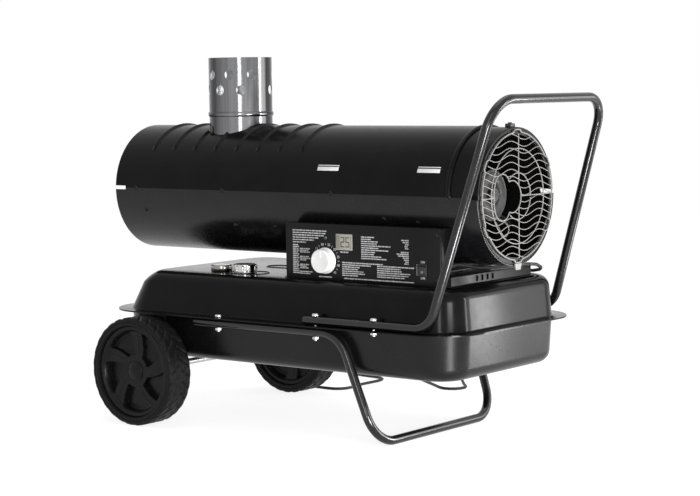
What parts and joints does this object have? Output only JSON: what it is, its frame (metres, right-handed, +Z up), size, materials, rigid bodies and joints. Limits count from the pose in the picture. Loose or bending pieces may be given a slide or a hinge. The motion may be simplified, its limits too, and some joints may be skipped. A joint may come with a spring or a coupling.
{
  "type": "indirect fired heater",
  "caption": "Wheeled oil-fired air heater: a horizontal barrel with an exhaust flue over a fuel tank, with a fan, a control box, a push handle and a foot.",
  "frame": {"origin": "on the floor, under the middle of the heater's length and width", "axes": "+X along the barrel from the warm air outlet to the fan, +Y to the side away from the control panel, +Z up"},
  "size_m": [0.917, 0.85, 0.674],
  "materials": {
    "black_paint": "semi-gloss powder paint",
    "gloss_tube": "gloss powder paint",
    "stainless": "polished stainless sheet",
    "grey_plastic": "light grey coating",
    "galvanised": "galvanised sheet",
    "hot_steel": "heat-darkened steel",
    "motor_paint": "satin paint",
    "cast_aluminium": "satin",
    "panel_black": "satin",
    "white_plastic": "satin",
    "switch_black": "semi-gloss",
    "display_grey": "clear over grey",
    "lamp_green": "clear tinted",
    "chrome": "plated",
    "gauge_red": "matt",
    "clear_glass": "clear",
    "zinc": "bright zinc",
    "tyre_rubber": "matt",
    "rim_plastic": "satin",
    "seal_rubber": "matt",
    "cord_rubber": "satin"
  },
  "bodies": {
    "heater": {"upper_cover": "black_paint", "lower_shell": "black_paint", "fan_shroud": "black_paint", "tank_upper": "black_paint", "tank_lower": "black_paint", "axle_bracket_near": "black_paint", "axle_bracket_far": "black_paint", "control_box": "black_paint", "saddle_outlet": "black_paint", "saddle_fan": "black_paint", "handle": "gloss_tube", "foot": "gloss_tube", "flue_pipe": "stainless", "inlet_guard": "grey_plastic", "guard_clip": "grey_plastic", "inner_liner": "galvanised", "seam_strip_near": "galvanised", "seam_strip_far": "galvanised", "drum_stay_outlet": "galvanised", "drum_stay_fan": "galvanised", "liner_stay_outlet": "galvanised", "liner_stay_fan": "galvanised", "motor_mount": "galvanised", "thermostat_body": "galvanised", "heat_drum": "hot_steel", "burner_tube": "hot_steel", "burner_head": "hot_steel", "motor": "motor_paint", "control_panel": "panel_black", "switch_frame": "switch_black", "display_window": "display_grey", "status_lamp": "lamp_green", "fuel_gauge": "chrome", "gauge_glass": "clear_glass", "axle": "zinc", "filler_neck": "zinc", "foot_bolt_near": "zinc", "foot_bolt_far": "zinc", "shared_bolt_near": "zinc", "shared_bolt_far": "zinc", "handle_bolt_near": "zinc", "handle_bolt_far": "zinc", "strain_relief": "cord_rubber", "power_cord": "cord_rubber", "plug": "cord_rubber"},
    "wheel_near": {"rim_near": "rim_plastic", "tyre_near": "tyre_rubber", "hub_cap_near": "rim_plastic"},
    "wheel_far": {"rim_far": "rim_plastic", "tyre_far": "tyre_rubber", "hub_cap_far": "rim_plastic"},
    "fan_rotor": {"fan": "cast_aluminium", "motor_shaft": "zinc"},
    "knob": {"thermostat_knob": "white_plastic"},
    "rocker": {"power_rocker": "switch_black"},
    "needle": {"gauge_needle": "gauge_red"},
    "cap_rise_stage": {"cap_seal": "seal_rubber"},
    "cap": {"fuel_cap": "chrome"}
  },
  "joints": [
    {"name": "wheel_near_spin", "type": "hinge", "parent": "heater", "child": "wheel_near", "pos_m": [-0.3015, -0.222, 0.1], "axis": [0, 1, 0], "continuous": true},
    {"name": "wheel_far_spin", "type": "hinge", "parent": "heater", "child": "wheel_far", "pos_m": [-0.3015, 0.222, 0.1], "axis": [0, 1, 0], "continuous": true},
    {"name": "fan_spin", "type": "hinge", "parent": "heater", "child": "fan_rotor", "pos_m": [0.2145, 0, 0.427], "axis": [1, 0, 0], "continuous": true},
    {"name": "knob_turn", "type": "hinge", "parent": "heater", "child": "knob", "pos_m": [0.0745, -0.1421, 0.314], "axis": [0, -1, 0], "range_deg": [-135, 135]},
    {"name": "switch_tip", "type": "hinge", "parent": "heater", "child": "rocker", "pos_m": [0.2835, -0.1391, 0.307], "axis": [-1, 0, 0], "range_deg": [0, 12]},
    {"name": "gauge_swing", "type": "hinge", "parent": "heater", "child": "needle", "pos_m": [-0.2005, -0.107, 0.2875], "axis": [0, 0, 1], "range_deg": [-45, 45]},
    {"name": "cap_rise", "type": "slide", "parent": "heater", "child": "cap_rise_stage", "axis": [0, 0, 1], "range_m": [0, 0.012]},
    {"name": "cap_turn", "type": "hinge", "parent": "cap_rise_stage", "child": "cap", "pos_m": [-0.1445, -0.105, 0.29], "axis": [0, 0, 1], "range_deg": [0, 720]}
  ],
  "couplings": [
    {"joint": "cap_rise", "follows": "cap_turn", "m_per_rad": 0.00095493}
  ]
}
